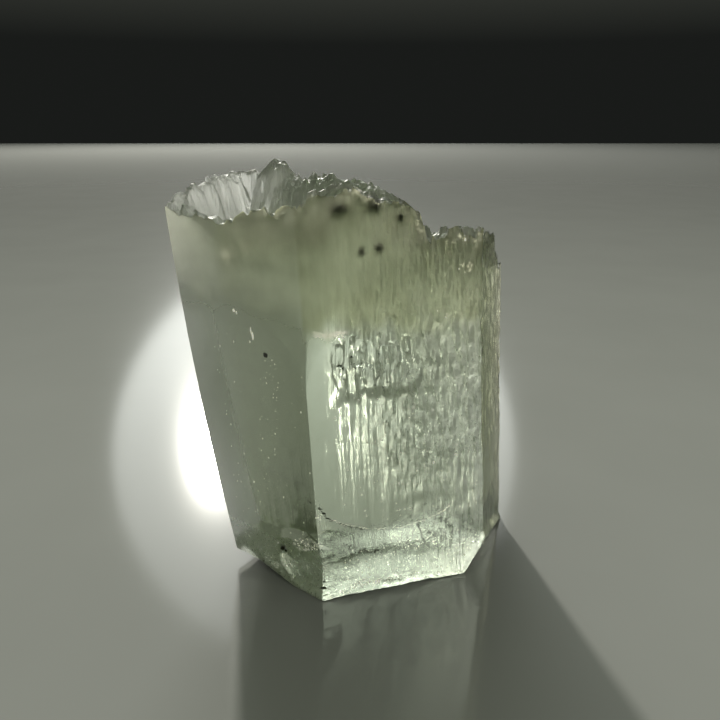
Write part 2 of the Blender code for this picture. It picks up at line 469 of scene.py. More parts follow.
@dataclass(frozen=True)
class Outline:
    """The plan outline at the foot, one row for each column of the skin."""

    faces: tuple[Face, ...]
    facet: Array
    points: Array
    along: Array
    inward: Array
    ahead: Array
    opening: Array
    bow: Array

    def on(self, *facets: Facet) -> Array:
        """Whether each column is on one of some faces."""
        return np.isin(self.facet, [facet.value for facet in facets])

    def own(self, trait: str) -> Array:
        """One of the faces' own numbers, for each column."""
        return np.array([getattr(face, trait) for face in self.faces])[self.facet]


@dataclass(frozen=True)
class Prism:
    """The leaning six-sided prism that everything else is cut into."""

    faces: dict[Facet, Face] = field(default_factory=lambda: {
        Facet.FRONT_LEFT: Face(-128.0, 8.25, -0.026, 0.0, 52, etching=0.04, striping=0.05,
                               veiling=0.52),
        Facet.FRONT_RIGHT: Face(-72.5, 6.15, 0.0, 0.0, 124, etching=0.04, striping=1.0,
                                waving=0.3, veiling=1.0),
        Facet.RIGHT: Face(-19.0, 8.40, -0.014, 0.0, 100, etching=0.20, striping=0.4,
                          waving=1.0, dullness=0.05),
        Facet.REAR_RIGHT: Face(52.0, 8.25, -0.028, 0.0, 60, etching=0.60, striping=0.6,
                               waving=1.0, dullness=1.0),
        Facet.REAR: Face(107.5, 6.15, 0.0, 0.0, 64, etching=0.01, striping=0.02, waving=0.05),
        Facet.REAR_LEFT: Face(148.0, 6.87, 0.048, 0.74, 60, dullness=1.1),
    })
    lean_x: float = -math.tan(math.radians(3.8))
    lean_y: float = -math.tan(math.radians(8.5))
    bow_height: float = 15.0

    def corners(self, trait: str) -> Array:
        """Where each face's line in plan meets the one before it.

        Args:
            trait: Which of a face's numbers is its distance.

        Returns:
            Six plan points.
        """
        sides = [(outward(face.heading), getattr(face, trait)) for face in self.faces.values()]
        return np.array([
            np.linalg.solve(np.array([before, after]), np.array([near, far]))
            for (before, near), (after, far) in zip(sides[-1:] + sides[:-1], sides)
        ])

    def spread(self, trait: str) -> Array:
        """Points at even steps along straight runs from each corner to the next.

        Args:
            trait: Which of a face's numbers is its distance.

        Returns:
            Plan points, one for each column of the skin.
        """
        tips = self.corners(trait)
        return np.vstack([
            tip + (after - tip) * (np.arange(face.steps)[:, None] / face.steps)
            for face, tip, after in zip(self.faces.values(), tips, np.roll(tips, -1, axis=0))
        ])

    def outline(self) -> Outline:
        """The outline at the foot. At a corner, inward halves the angle between the two faces.

        Returns:
            The outline.
        """
        faces = tuple(self.faces.values())
        steps = [face.steps for face in faces]
        facet = np.repeat(np.arange(len(faces)), steps)
        first = np.cumsum([0, *steps[:-1]])
        normals = np.array([outward(face.heading) for face in faces])
        before = np.roll(normals, 1, axis=0)
        inward = -normals[facet]
        inward[first] = -(before + normals) / (1 + (before * normals).sum(axis=1))[:, None]
        ahead = np.stack([-normals[facet][:, 1], normals[facet][:, 0]], axis=-1)
        points = self.spread("reach")
        along = np.linalg.norm(points - points[first][facet], axis=1)
        return Outline(faces, facet, points, along, inward, ahead, self.spread("opening"),
                       self.spread("bow"))

    def bowing(self, z: Array | float) -> Array | float:
        """How much of its bow a face has at each level: a parabola, full half way up."""
        return 1 - ((z - self.bow_height) / self.bow_height) ** 2

    def leaning(self, plan: Array, z: Array | float) -> Array:
        """Slides plan points along the lean to their levels, as points in space."""
        x, y = plan[..., 0] + self.lean_x * z, plan[..., 1] + self.lean_y * z
        return np.stack([x, y, z], axis=-1)


@dataclass(frozen=True)
class Ridge:
    """A bell-shaped ridge over a line of plan points with heights."""

    line: Line
    width: float

    def over(self, x: Array, y: Array) -> Array:
        """How much the ridge lifts each plan place.

        Formula: the line's height at its nearest point, times the bell curve of the distance to it
        over the width.

        Args:
            x: Plan places across.
            y: Plan places back.

        Returns:
            Rises, one for each place.
        """
        nearest = np.full(np.shape(x), 99.0)
        height = np.zeros(np.shape(x))
        for (ax, ay, az), (bx, by, bz) in zip(self.line, self.line[1:]):
            t = ((x - ax) * (bx - ax) + (y - ay) * (by - ay)) / ((bx - ax) ** 2 + (by - ay) ** 2)
            t = np.clip(t, 0, 1)
            away = np.hypot(x - ax - t * (bx - ax), y - ay - t * (by - ay))
            height = np.where(away < nearest, az + t * (bz - az), height)
            nearest = np.minimum(nearest, away)
        return height * np.exp(-((nearest / self.width) ** 2))


@dataclass(frozen=True)
class EtchedTop:
    """The top: a tilted basal plane with a crest, a tower, a hollow and columns with flat ends."""

    prism: Prism
    level: float = 25.50
    crest: Ridge = Ridge((
        (-4.8, -5.9, 0.7), (-2.6, -7.0, 1.5), (-0.4, -6.2, 2.0), (1.4, -5.2, 1.2),
        (0.0, -3.0, 1.4), (-2.0, 0.0, 1.4), (-3.1, 1.5, 0.7), (-4.4, 3.3, 1.4), (-4.7, 4.8, 1.0),
    ), 1.5)
    tower: Ridge = Ridge((
        (5.8, -4.6, 1.25), (7.3, -3.9, 1.25), (8.0, -2.2, 1.6), (8.6, -0.6, 1.3),
    ), 1.1)
    shoulder: Ridge = Ridge(((2.1, -5.40, 0.05), (2.8, -5.18, 0.40), (3.5, -4.95, 0.85)), 0.50)
    rim_rise: float = 0.9
    rim_width: float = 1.0
    hollow_depth: float = 1.9
    hollow_heading: float = 34.3
    hollow_side: Fade = Fade(-4.05, -2.55, 1.0, 0.0)
    front_walls: tuple[tuple[Facet, Fade], ...] = (
        (Facet.FRONT_LEFT, Fade(0.2, 3.4)), (Facet.FRONT_RIGHT, Fade(0.8, 3.4)),
    )
    rear_wall: float = 0.85
    wall_edge: Fade = Fade(-0.18, 0.18)
    ribs: Lattices = (
        Lattice(0.80, 1.0, 0.40, 91), Lattice(0.38, 1.0, 0.34, 95), Lattice(0.20, 1.0, 0.20, 97),
    )
    drop_along: Span = (0.75, 0.66)
    drop: tuple[Span, ...] = (
        (-1.3, 0.0), (-0.7, -0.6), (-0.4, -1.9), (1.5, -2.3), (3.5, -3.0), (7.0, -4.9), (9.0, -6.0),
    )
    worn_corner: Span = (-10.75, -1.22)
    worn_depth: float = 0.75
    worn_reach: float = 0.5
    roughness: Fade = Fade(-1.6, -0.4, 1.0, 1.7)
    columns: Lattices = (
        Lattice(2.10, 2.10, 0.36, 3, tilt=0.336), Lattice(0.95, 0.95, 0.36, 31, tilt=0.342),
        Lattice(0.42, 0.42, 0.34, 37, tilt=0.21),
    )

    def height(self, x: Array | float, y: Array | float) -> Array:
        """The level of the top over each plan place.

        Formula: a plane square to the lean, plus the ridges and the rear-left rim, less the hollow
        and the worn corner, plus a fall read off straight runs, plus blocks.

        Args:
            x: Plan places across.
            y: Plan places back.

        Returns:
            Levels above the foot.
        """
        height = self.level - self.prism.lean_x * x - self.prism.lean_y * y
        for ridge in (self.crest, self.tower, self.shoulder):
            height = height + ridge.over(x, y)
        rim = self._inside(Facet.REAR_LEFT, x, y) / self.rim_width
        height = height + self.rim_rise * np.exp(-(rim**2)) - self.hollow(x, y)
        fallen = x * self.drop_along[0] + y * self.drop_along[1]
        height = height + np.interp(fallen, *zip(*self.drop))
        corner = np.hypot(x - self.worn_corner[0], y - self.worn_corner[1]) / self.worn_reach
        height = height - self.worn_depth * np.exp(-(corner**2))
        rough = self.roughness.at(fallen)
        for lattice in self.columns:
            height = height + rough * lattice.rubble(x, y)
        return height

    def hollow(self, x: Array | float, y: Array | float) -> Array:
        """How deep the hollow left of the crest is.

        Formula: the full depth, eased out across the crest's own line and towards each front face,
        and cut off steeply at a ribbed wall along the two rear faces.

        Args:
            x: Plan places across.
            y: Plan places back.

        Returns:
            Depths in millimetres.
        """
        way = outward(self.hollow_heading)
        depth = self.hollow_depth * self.hollow_side.at(x * way[0] + y * way[1])
        for facet, wall in self.front_walls:
            depth = depth * wall.at(self._inside(facet, x, y))
        for facet in (Facet.REAR_LEFT, Facet.REAR):
            way = outward(self.prism.faces[facet].heading)
            along = y * way[0] - x * way[1]
            wall = self.rear_wall + sum(rib.rubble(along, 0.0 * along) for rib in self.ribs)
            depth = depth * self.wall_edge.at(self._inside(facet, x, y) - wall)
        return depth

    def _inside(self, facet: Facet, x: Array | float, y: Array | float) -> Array:
        """How far inside one face each plan place at the top is.

        Args:
            facet: The face.
            x: Plan places across.
            y: Plan places back.

        Returns:
            Distances in millimetres.
        """
        face = self.prism.faces[facet]
        way = outward(face.heading)
        reach = face.reach + face.opening * self.level + face.bow * self.prism.bowing(self.level)
        return reach - (x * way[0] + y * way[1])


@dataclass(frozen=True)
class Break:
    """A slope broken up from the foot near one face's first corner."""

    corner: Facet
    heading: float
    slope: float
    start: float
    most: float


@dataclass(frozen=True)
class BrokenFoot:
    """The foot: flat on the ground, and broken away upwards at its borders."""

    prism: Prism
    breaks: tuple[Break, ...] = (
        Break(Facet.RIGHT, -28.0, 2.6, 1.1, 9.0), Break(Facet.FRONT_LEFT, -166.0, 0.48, 3.2, 0.85),
        Break(Facet.REAR, 107.5, 0.70, 1.65, 1.2), Break(Facet.REAR, 80.0, 0.75, 2.9, 2.3),
        Break(Facet.REAR_LEFT, 130.0, 0.75, 2.5, 2.0),
    )
    relief: Lattices = (
        Lattice(1.6, 1.6, 0.032, 7, tilt=0.096), Lattice(0.7, 0.7, 0.024, 17, tilt=0.072),
        Lattice(0.33, 0.33, 0.024, 27, tilt=0.072),
    )
    chip_depth: float = 0.42
    chip_least: float = 0.45
    teeth: Lattices = (Lattice(0.8, 1.0, 0.8, 21), Lattice(0.3, 1.0, 0.3, 23))
    chips_begin: Fade = Fade(0.3, 1.3)
    chips_end: Fade = Fade(6.0, 8.5, 1.0, 0.0)
    rings: int = 26
    innermost: float = 0.45

    def height(self, x: Array, y: Array) -> Array:
        """The level of the foot over each plan place.

        Formula: the highest of the ground and the broken slopes, each up to its own most, plus
        scattered, tilted blocks.

        Args:
            x: Plan places across.
            y: Plan places back.

        Returns:
            Levels above the ground.
        """
        height = np.zeros(np.shape(x))
        tips = self.prism.corners("reach")
        for broken in self.breaks:
            way, (tip_x, tip_y) = outward(broken.heading), tips[broken.corner.value]
            beyond = (x - tip_x) * way[0] + (y - tip_y) * way[1] + broken.start
            height = np.maximum(height, np.minimum(broken.slope * beyond, broken.most))
        for lattice in self.relief:
            number, _, rise = lattice.blocks(x, y)
            height = height + lattice.deep * number + lattice.tilt * np.abs(rise)
        return height

    def chips(self, line: Outline) -> Array:
        """How high the border is chipped along the front-right face.

        Formula: an eased rise and fall along the face, times a scattered tooth for each step.

        Args:
            line: The crystal's outline.

        Returns:
            One height for each outline point.
        """
        teeth = self.chip_least
        for lattice in self.teeth:
            teeth = teeth + lattice.deep * lattice.blocks(line.along, 0.0 * line.along)[0]
        chips = self.chip_depth * self.chips_begin.at(line.along) * self.chips_end.at(line.along)
        return np.where(line.on(Facet.FRONT_RIGHT), chips * teeth, 0.0)


@dataclass(frozen=True)
class EtchedSides:
    """The relief of the sides, at one or more levels z for each column of the outline."""

    prism: Prism
    line: Outline
    z: Array
    edge_radius: Fade = Fade(15.0, 21.0, 0.001, 5.001)
    etched_middle: Fade = Fade(1.8, 4.0, 0.0, 0.26)
    etched_above: Fade = Fade(6.0, 12.0)
    etched_right: Fade = Fade(4.4, 8.4, 0.0, 0.90)
    etched_slant: float = 0.05
    etched_foot: Fade = Fade(6.5, 10.5, 0.45, 1.0)
    etched_side: Fade = Fade(8.0, 13.0, 0.0, 0.3)
    grooved_below: Fade = Fade(16.0, 21.0, 1.0, 0.15)
    grooved_right: Fade = Fade(0.4, 3.8, 0.13, 1.0)
    grooved_over: Fade = Fade(6.5, 9.5, 0.74, 1.0)
    grooved_slant: float = 0.9
    grooved_foot: Fade = Fade(3.5, 5.5, 0.25, 0.0)
    pits: Lattices = (
        Lattice(0.90, 3.2, 0.15, 11), Lattice(0.44, 1.6, 0.17, 41), Lattice(0.26, 0.95, 0.14, 47),
    )
    pit_least: float = 0.25
    pit_reach: float = 0.66
    flutes: Lattices = (
        Lattice(0.62, 26.0, 0.11, 15), Lattice(0.27, 12.0, 0.078, 51),
        Lattice(0.17, 7.0, 0.038, 57),
    )
    waves: Lattices = (Lattice(1.5, 26.0, 0.060, 61), Lattice(0.7, 12.0, 0.030, 67))
    apart: float = 30.0
    lump_depth: float = 0.31
    lump_relief: Lattices = (
        Lattice(0.62, 1.5, 0.20, 71, tilt=0.50), Lattice(0.30, 0.75, 0.10, 75, tilt=0.20),
    )
    lump_floor: tuple[float, Lattice, Fade] = (
        13.95, Lattice(0.6, math.inf, 0.50, 77), Fade(0.0, 0.8),
    )
    lump_ceiling: tuple[float, Lattice, Fade] = (
        16.8, Lattice(0.9, math.inf, 2.8, 79), Fade(0.0, 2.2, 1.0, 0.0),
    )
    lump_ends: tuple[Fade, Fade] = (Fade(1.2, 2.6), Fade(7.0, 10.0, 1.0, 0.0))
    scar_centre: Point = (-4.6, -6.9, 2.6)
    scar_reach: Span = (2.3, 2.5)
    scar_depth: float = 0.42
    scar_fullness: float = 0.8
    scar_relief: Lattices = (
        Lattice(0.7, 0.45, 0.05, 87, tilt=0.06), Lattice(0.32, 0.2, 0.03, 89, tilt=0.05),
    )
    scar_roughening: Fade = Fade(0.0, 0.15)

    def rounding(self) -> tuple[Array, Array]:
        """How the front edge is rounded off, more and more towards the top.

        Formula: an arc of the level's radius touches both front faces. A column's share of the way
        from the edge to the touch gives its angle on the arc, and so its depth and its slide.

        Returns:
            Depths, and slides along the outline's own direction, in millimetres.
        """
        line = self.line
        left, right = self.prism.faces[Facet.FRONT_LEFT], self.prism.faces[Facet.FRONT_RIGHT]
        half_turn = math.radians(right.heading - left.heading) / 2
        on_left = line.on(Facet.FRONT_LEFT)
        width = np.linalg.norm(line.points[left.steps] - line.points[0])
        from_edge = np.where(on_left, width - line.along, line.along)
        radius = self.edge_radius.at(self.z)
        reach = radius * math.tan(half_turn)
        angle = half_turn * np.clip(1 - from_edge / reach, 0, 1)
        front = line.on(Facet.FRONT_LEFT, Facet.FRONT_RIGHT) & (from_edge < reach)
        depth = np.where(front, radius * (1 - np.cos(angle)), 0.0)
        slide = np.where(front & (from_edge > 0), reach - radius * np.sin(angle) - from_edge, 0.0)
        return depth, np.where(on_left, -slide, slide)

    def etching(self) -> Array:
        """How strongly each place is etched.

        Formula: each face's own strength, more in the front-right face's middle and most across its
        right part, less near its foot, and more above the right face's foot.

        Returns:
            Strengths from 0 to about 1.
        """
        strength = self.line.own("etching") + 0.0 * self.z
        front = strength + self.etched_middle.at(self.line.along) * self.etched_above.at(self.z)
        front = front + self.etched_right.at(self.line.along + self.etched_slant * self.z)
        strength = strength + self.etched_side.at(self.z) * self.line.on(Facet.RIGHT)
        return np.where(
            self.line.on(Facet.FRONT_RIGHT), front * self.etched_foot.at(self.z), strength
        )

    def striping(self) -> Array:
        """How strongly each place is grooved along the crystal.

        Formula: each face's own strength, less near the top, and on the front-right face growing
        away from the front edge.

        Returns:
            Strengths from 0 to about 1.
        """
        low = self.grooved_over.at(self.z + self.grooved_slant * self.line.along)
        low = self.grooved_right.at(self.line.along) * (low + self.grooved_foot.at(self.z))
        front = np.where(self.line.on(Facet.FRONT_RIGHT), low, 1.0)
        return self.line.own("striping") * self.grooved_below.at(self.z) * front

    def relief(self) -> Array:
        """How deep pits, flutes, waves and lumps go in.

        Formula: each lattice of pits sinks a lens into every cell, as deep as the cell's number.
        Flutes and waves are smooth noise stretched along the crystal.

        Returns:
            Depths in millimetres.
        """
        along = self.line.along + self.apart * self.line.facet + 0.0 * self.z
        depth, etched = self.lumps(), self.etching()
        for pit in self.pits:
            number, away, _ = pit.blocks(along, self.z)
            lens = np.clip(1 - (away / self.pit_reach) ** 2, 0, 1)
            depth = depth + etched * pit.deep * (self.pit_least + number) * lens
        depth = depth + self.striping() * sum(one.swell(along, self.z) for one in self.flutes)
        return depth + self.line.own("waving") * sum(
            one.swell(along, self.z) for one in self.waves
        )

    def lumps(self) -> Array:
        """How deep the blocky hollows in the middle of the front-right face are.

        Formula: tilted blocks inside an eased window with waved borders.

        Returns:
            Depths in millimetres.
        """
        along = self.line.along + 0.0 * self.z
        window = self.line.on(Facet.FRONT_RIGHT) * 1.0
        for end in self.lump_ends:
            window = window * end.at(along)
        for level, wave, border in (self.lump_floor, self.lump_ceiling):
            window = window * border.at(self.z - level - wave.swell(along, self.z))
        blocks = sum(lattice.rubble(along, self.z) for lattice in self.lump_relief)
        return window * (self.lump_depth + blocks)

    def scar(self) -> Array:
        """How deep the shallow broken scar at the foot of the front edge is.

        Formula: a bowl, 1 less the squares of the shares of its reach, to the power of its
        fullness, roughened by tilted blocks.

        Returns:
            Depths in millimetres.
        """
        (x, y), (middle_x, middle_y, level) = self.line.points.T, self.scar_centre
        span = np.hypot(x - middle_x, y - middle_y) / self.scar_reach[0]
        bowl = np.clip(1 - span**2 - ((self.z - level) / self.scar_reach[1]) ** 2, 0, 1)
        around = x - y + 0.0 * self.z
        rough = sum(lattice.rubble(around, self.z) for lattice in self.scar_relief)
        return self.scar_depth * bowl**self.scar_fullness + rough * self.scar_roughening.at(bowl)


# ---- the crystal's skin ----


@dataclass
class MeshPlan:
    """Points, faces and the numbers that a mesh carries, before it is made."""

    points: Array
    quads: list[tuple[int, ...]]
    uvs: Sequence[Array] = ()
    marks: dict[str, Array] = field(default_factory=dict)

    def make(self, name: str, finish: bpy.types.Material) -> bpy.types.Object:
        """Puts the worked-out arrays into a mesh object at the origin.

        Args:
            name: The piece's name.
            finish: The piece's material.

        Returns:
            The new object, linked into the scene.
        """
        mesh = bpy.data.meshes.new(name)
        mesh.from_pydata(self.points.tolist(), [], self.quads)
        if len(self.uvs):
            layer = mesh.uv_layers.new(name="UVMap")
            layer.data.foreach_set("uv", np.concatenate(self.uvs).astype(np.float32).ravel())
        for label, values in self.marks.items():
            mark = mesh.attributes.new(label, "FLOAT", "POINT")
            mark.data.foreach_set("value", values.astype(np.float32))
        mesh.materials.append(finish)
        mesh.update()
        made = bpy.data.objects.new(name, mesh)
        bpy.context.scene.collection.objects.link(made)
        return made


@dataclass(frozen=True)
class SkinLook:
    """How etched, striped, veiled, olive and frosted the skin is: marks that the finish reads."""

    sides: EtchedSides
    veil_levels: Span = (18.9, 17.7)
    veil_waves: Lattices = (Lattice(1.8, math.inf, 0.8, 83), Lattice(0.8, 0.8, 0.5, 85))
    apart: float = 9.0
    veil_start: Fade = Fade(-0.4, 2.2)
    veil_right: Fade = Fade(5.5, 8.0, 1.0, 0.6)
    veil_top: Fade = Fade(20.0, 24.0, 1.0, 1.35)
    olive_left: Fade = Fade(2.6, 3.8, 0.0, 0.22)
    olive_right: Fade = Fade(5.0, 8.5, 0.0, 0.4)
    olive_above: Fade = Fade(12.0, 18.0)
    etched_share: float = 0.35
    dull_start: Fade = Fade(0.6, 2.2)
    dull_below: Fade = Fade(3.0, 14.0, 1.4, 1.0)
    glossy_start: Fade = Fade(17.5, 20.0, 0.0, 0.15)
    glossy_end: Fade = Fade(24.4, 25.3, 1.0, 0.0)
    dull_rim: Fade = Fade(23.8, 24.6)
    dull_foot: Fade = Fade(3.2, 5.2, 0.4, 0.0)
    most_frost: float = 1.5

    def veil(self) -> Array:
        """How veiled the sides are: more and more above a waving border on the front faces.

        Returns:
            Numbers from 0 upwards.
        """
        line, z = self.sides.line, self.sides.z
        border = np.where(line.on(Facet.FRONT_LEFT), *self.veil_levels)
        for wave in self.veil_waves:
            at = line.along / wave.across + self.apart * line.facet
            border = border + wave.deep * ripple(at, z / wave.up, wave.salt)
        right = np.where(line.on(Facet.FRONT_RIGHT), self.veil_right.at(line.along), 1.0)
        front = right * line.on(Facet.FRONT_LEFT, Facet.FRONT_RIGHT)
        return self.veil_start.at(z - border) * front * self.veil_top.at(z)

    def olive(self) -> Array:
        """How much darker and greener the sides are.

        Formula: each face's own share of the veil, a share for the front faces' right parts, and
        all of it for the right face.

        Returns:
            Numbers from 0 to 1.
        """
        line = self.sides.line
        left = line.on(Facet.FRONT_LEFT) * self.olive_left.at(line.along)
        right = line.on(Facet.FRONT_RIGHT) * self.olive_right.at(line.along)
        right = right * self.olive_above.at(self.sides.z) + line.on(Facet.RIGHT)
        return np.clip(line.own("veiling") * self.veil() + left + right, 0, 1)

    def frosting(self) -> Array:
        """How frosted the sides are.

        Formula: a share of the etching, the veil, and each face's own dullness, more towards the
        foot. Three faces also have a glossier band, a dull rim and a dull foot.

        Returns:
            Numbers from 0 upwards.
        """
        line, z = self.sides.line, self.sides.z
        glossy = self.glossy_start.at(z) * self.glossy_end.at(z) * line.on(Facet.REAR_LEFT)
        dull = line.own("dullness") * self.dull_below.at(z) * (1 - glossy) * self.dull_start.at(z)
        dull = dull + line.on(Facet.REAR) * self.dull_rim.at(z)
        dull = dull + line.on(Facet.FRONT_LEFT) * self.dull_foot.at(z)
        frost = self.etched_share * self.sides.etching() + self.veil() + dull
        return np.clip(frost, 0, self.most_frost)

    def marks(self, under: int, inside: int) -> dict[str, Array]:
        """Every mark by name, with even values under the foot and over the top.

        Args:
            under: How many points the foot has.
            inside: How many points the top has inside its rim.

        Returns:
            One number for each point of the skin.
        """
        marks = {
            "etching": (1.2, self.sides.etching(), 2.4), "frosting": (0.08, self.frosting(), 0.65),
            "veil": (0.0, self.olive(), 0.22), "striping": (0.3, self.sides.striping(), 0.3),
        }
        return {
            name: np.concatenate([np.full(under, low), sides.ravel(), np.full(inside, high)])
            for name, (low, sides, high) in marks.items()
        }


@dataclass
class CrystalSkin:
    """The crystal's closed skin and its dressing."""

    prism: Prism = field(default_factory=Prism)
    finish: BerylFinish = BerylFinish()
    side_rows: int = 158
    settling: Fade = Fade(0.0, 0.03)
    inside_share: float = 0.9995
    sharp: float = math.radians(32.0)

    def __post_init__(self) -> None:
        """Makes the parts that the skin is cut by."""
        self.top, self.foot = EtchedTop(self.prism), BrokenFoot(self.prism)
        self.outline = self.prism.outline()

    def side_grid(self) -> tuple[Array, EtchedSides]:
        """The sheet round the sides, as a grid of level share by outline point.

        Formula: each point slides out by its face's opening and bow, along it by the rounding, then
        in by the relief, which settles in over the lowest share. Levels run evenly up.

        Returns:
            Plan points, and the sides with their levels.
        """
        line = self.outline
        rim = EtchedSides(self.prism, line, np.full(len(line.points), self.top.level))
        upper = line.points + line.opening * self.top.level
        upper = upper + line.bow * self.prism.bowing(self.top.level)
        upper = upper + line.inward * (rim.relief() + rim.rounding()[0])[:, None]
        low = self.foot.height(*line.points.T) + self.foot.chips(line)
        share = np.linspace(0, 1, self.side_rows + 1)[:, None]
        z = low + (self.top.height(*upper.T) - low) * share
        sides = EtchedSides(self.prism, line, z)
        rounded, slide = sides.rounding()
        depth = sides.relief() * self.settling.at(share) + sides.scar() + rounded
        plan = line.points + line.opening * z[..., None] + line.ahead * slide[..., None]
        plan = plan + line.bow * self.prism.bowing(z)[..., None]
        return plan + line.inward * depth[..., None], sides

    def foot_rings(self, border: Array) -> Array:
        """Rings under the foot, from a small middle one outwards.

        Args:
            border: The lowest ring's plan points.

        Returns:
            Points in space, one row for each ring.
        """
        middle = border.mean(axis=0)
        share = np.linspace(self.foot.innermost, 1.0, self.foot.rings, endpoint=False)
        plan = middle + (border - middle) * share[:, None, None]
        return self.prism.leaning(plan, self.foot.height(plan[..., 0], plan[..., 1]))

    @staticmethod
    def patch(rim: Array) -> Array:
        """A square grid stretched inside a closed rim.

        Formula: a Coons patch. The rim's quarters are the sides, opposite sides are blended evenly
        both ways, and the blend of the four ends is taken off once.

        Args:
            rim: The rim's plan points.

        Returns:
            A grid of plan points whose border is the rim.
        """
        n = len(rim) // 4
        t = np.linspace(0, 1, n + 1)
        rim = np.vstack([rim, rim[:1]])
        near, right = rim[: n + 1], rim[n : 2 * n + 1]
        far, left = rim[2 * n : 3 * n + 1][::-1], rim[3 * n :][::-1]
        u, v = t[:, None, None], t[None, :, None]
        across = (1 - v) * near[:, None] + v * far[:, None]
        along = (1 - u) * left[None, :] + u * right[None, :]
        ties = (1 - u) * (1 - v) * near[0] + u * (1 - v) * near[-1]
        ties = ties + (1 - u) * v * far[0] + u * v * far[-1]
        return across + along - ties

    @staticmethod
    def cap(rim: Array, first: int) -> Array:
        """The top grid's point numbers.

        Args:
            rim: The point numbers of the highest ring, which go round the border.
            first: The number of the first point inside.

        Returns:
            A square grid of point numbers.
        """
        n = len(rim) // 4
        cap = np.empty((n + 1, n + 1), dtype=int)
        cap[1:n, 1:n] = first + np.arange((n - 1) ** 2).reshape(n - 1, n - 1)
        cap[:n, 0], cap[n, :n] = rim[:n], rim[n : 2 * n]
        cap[n:0:-1, n], cap[0, n:0:-1] = rim[2 * n : 3 * n], rim[3 * n :]
        return cap

    def worked_out(self) -> MeshPlan:
        """All of the skin's points, faces, UVs and marks, still in millimetres.

        Returns:
            The skin, measured from the prism's axis at the foot.
        """
        line = self.outline
        plan, sides = self.side_grid()
        under = self.foot_rings(plan[0])
        rows = np.concatenate([under, self.prism.leaning(plan, sides.z)])
        over = self.patch(plan[-1])
        over = self.prism.leaning(over, self.top.height(over[..., 0], over[..., 1]))
        inner = over[1:-1, 1:-1].reshape(-1, 3)
        points = np.vstack([rows.reshape(-1, 3), inner])

        grid = np.arange(rows[..., 0].size).reshape(rows.shape[:2])
        sole = grid[0][::-1]
        walls = cell_corners(np.concatenate([grid, grid[:, :1]], axis=1))
        lid = cell_corners(self.cap(grid[-1], grid.size))[..., [0, 3, 2, 1]]
        quads = [tuple(sole.tolist())]
        quads += [tuple(q) for q in np.vstack([walls.reshape(-1, 4), lid.reshape(-1, 4)]).tolist()]

        step = np.linalg.norm(np.roll(line.points, -1, axis=0) - line.points, axis=1)
        level = np.concatenate([np.zeros(under.shape[:2]), sides.z])
        level = np.concatenate([level, level[:, :1]], axis=1)
        girth = np.broadcast_to(np.append(0.0, np.cumsum(step)), level.shape)
        wound = cell_corners(np.stack([girth, level], axis=-1)) * MM
        flat = points[:, :2] * MM
        uvs = [flat[sole], wound.reshape(-1, 2), flat[lid.reshape(-1)]]
        marks = SkinLook(sides).marks(under[..., 0].size, len(inner))
        return MeshPlan(points, quads, uvs, marks)

    def build(self) -> bpy.types.Object:
        """Makes the skin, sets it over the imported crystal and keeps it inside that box.

        Returns:
            The finished piece.
        """
        plan = self.worked_out()
        low, high = plan.points.min(axis=0), plan.points.max(axis=0)
        box_low, box_high = (np.array(corner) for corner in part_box(NODE))
        self.axis_foot = -np.array([*(low + high)[:2] / 2, low[2]]) * MM
        room = ((box_high - box_low) / ((high - low) * MM)).min()
        self.shrink = float(min(1.0, room) * self.inside_share)
        plan.points = self.place(plan.points)
        self.shell = BVHTree.FromPolygons(plan.points.tolist(), plan.quads)
        made = plan.make("crystal_skin", self.finish.make())
        made.data.shade_smooth()
        made.data.set_sharp_from_angle(angle=self.sharp)
        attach(made, BODY)
        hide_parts(NODE)
        log.info("crystal_skin: %d faces, scaled %.4f", len(plan.quads), self.shrink)
        return made

    def place(self, points: Array) -> Array:
        """Turns millimetres from the prism's axis at the foot into the frame's metres."""
        return (points * MM + self.axis_foot) * self.shrink

    def holds(self, point: Array, margin: float) -> bool:
        """Whether a place in the frame lies inside the skin by more than a margin, in metres."""
        near, normal, _, away = self.shell.find_nearest(point.tolist())
        return away > margin and float(np.dot(point - np.array(near), np.array(normal))) < 0


# ---- what lies inside ----


@dataclass(frozen=True)
class Pattern:
    """Fine grains strewn in one pattern: how many, their first own salt and their scatter."""

    count: int
    salt: float
    pick: float = 5.0

    def draw(self, least: float, more: float, row: float, power: float = 1.0) -> Array:
        """A least number plus a scattered share of more, to a power, for each grain."""
        return least + more * scatter(np.arange(self.count), row, self.pick) ** power

    def along(self, line: Line) -> Array:
        """Even steps along a broken line, one for each grain."""
        at = np.arange(self.count) / self.count * (len(line) - 1)
        return np.column_stack([np.interp(at, range(len(line)), side) for side in zip(*line)])

    def rows(self, middle: Array, size: Array, shape: Point = (1.0, 1.0, 1.0)) -> Array:
        """One row for each grain: its middle, its half sizes across, back and up, and its salt."""
        reach = np.reshape(size, (self.count, -1)) * shape
        return np.column_stack([middle, reach, self.salt + np.arange(self.count)])


@dataclass(frozen=True)
class PaintedSparkle:
    """Glowing flakes just inside one face, a painted sparkle: spans across and of levels, depth,
    count, size and salt.
    """

    facet: Facet
    across: Span
    levels: Span
    depth: float
    count: int
    largest: float
    salt: float

    def rows(self, prism: Prism) -> Array:
        """The flakes, at scattered places across the face and up it.

        Args:
            prism: The prism whose face it is.

        Returns:
            One row for each flake.
        """
        flakes = Pattern(self.count, self.salt, self.salt)
        face = prism.faces[self.facet]
        aside = flakes.draw(self.across[0], self.across[1] - self.across[0], 1.0)
        z = flakes.draw(self.levels[0], self.levels[1] - self.levels[0], 2.0)
        out, (x, y) = face.reach + face.opening * z - self.depth, outward(face.heading)
        middle = np.column_stack([x * out - y * aside, y * out + x * aside, z])
        return flakes.rows(middle, flakes.draw(0.007, self.largest, 3.0, 4.0), (1.0, 0.5, 2.0))


